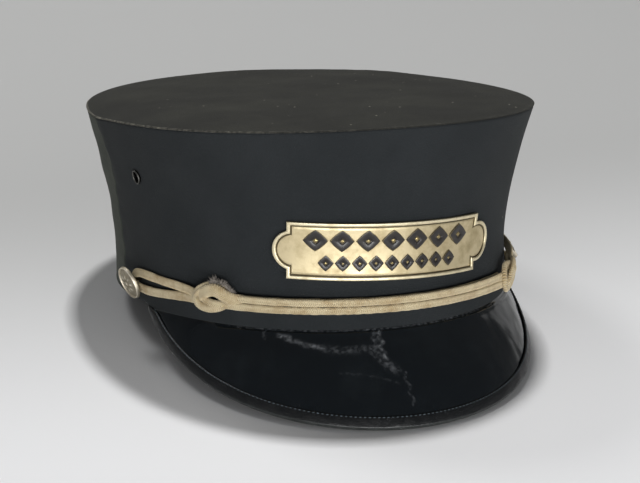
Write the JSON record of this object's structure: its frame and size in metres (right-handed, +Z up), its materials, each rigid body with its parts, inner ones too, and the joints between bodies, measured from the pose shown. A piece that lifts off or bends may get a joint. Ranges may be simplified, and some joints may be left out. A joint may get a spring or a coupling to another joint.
{
  "type": "railroad porter cap",
  "caption": "Flaring oval uniform cap of dark wool cloth with a down-turned patent visor, brass front plate, side buttons and a cream chin cord tied in sliding knots.",
  "frame": {"origin": "centre of the cap's footprint box on the surface that it rests on", "axes": "+Z up from the surface, -Y towards the visor, +X towards the wearer's left; the cap rests on its visor's edge and the back edge of its wall"},
  "size_m": [0.1896, 0.2508, 0.1179],
  "materials": {
    "top_cloth": "dark wool broadcloth, worn, with lint",
    "wall_cloth": "black wool broadcloth, brushed",
    "patent_leather": "black patent leather, high gloss, finely cracked",
    "binding_leather": "matte dark edge binding, stitched",
    "badge_brass": "satin brass with a polished raised rim and darkened relief",
    "button_brass": "worn gilt brass, darkened in the recesses",
    "eyelet_metal": "black japanned metal",
    "chin_cord": "cream braided cotton cord, aged and stained"
  },
  "bodies": {
    "root": {"crown_top": "top_cloth", "crown_front": "wall_cloth", "crown_back": "wall_cloth", "visor": "patent_leather", "visor_binding": "binding_leather", "badge_plate": "badge_brass", "eyelet_left": "eyelet_metal", "eyelet_right": "eyelet_metal", "button_left": "button_brass", "button_right": "button_brass", "cord_front_upper": "chin_cord", "cord_front_lower": "chin_cord", "cord_front_inner": "chin_cord", "cord_bight_left": "chin_cord", "cord_bight_right": "chin_cord", "knot_left": "chin_cord", "knot_right": "chin_cord"}
  },
  "joints": []
}
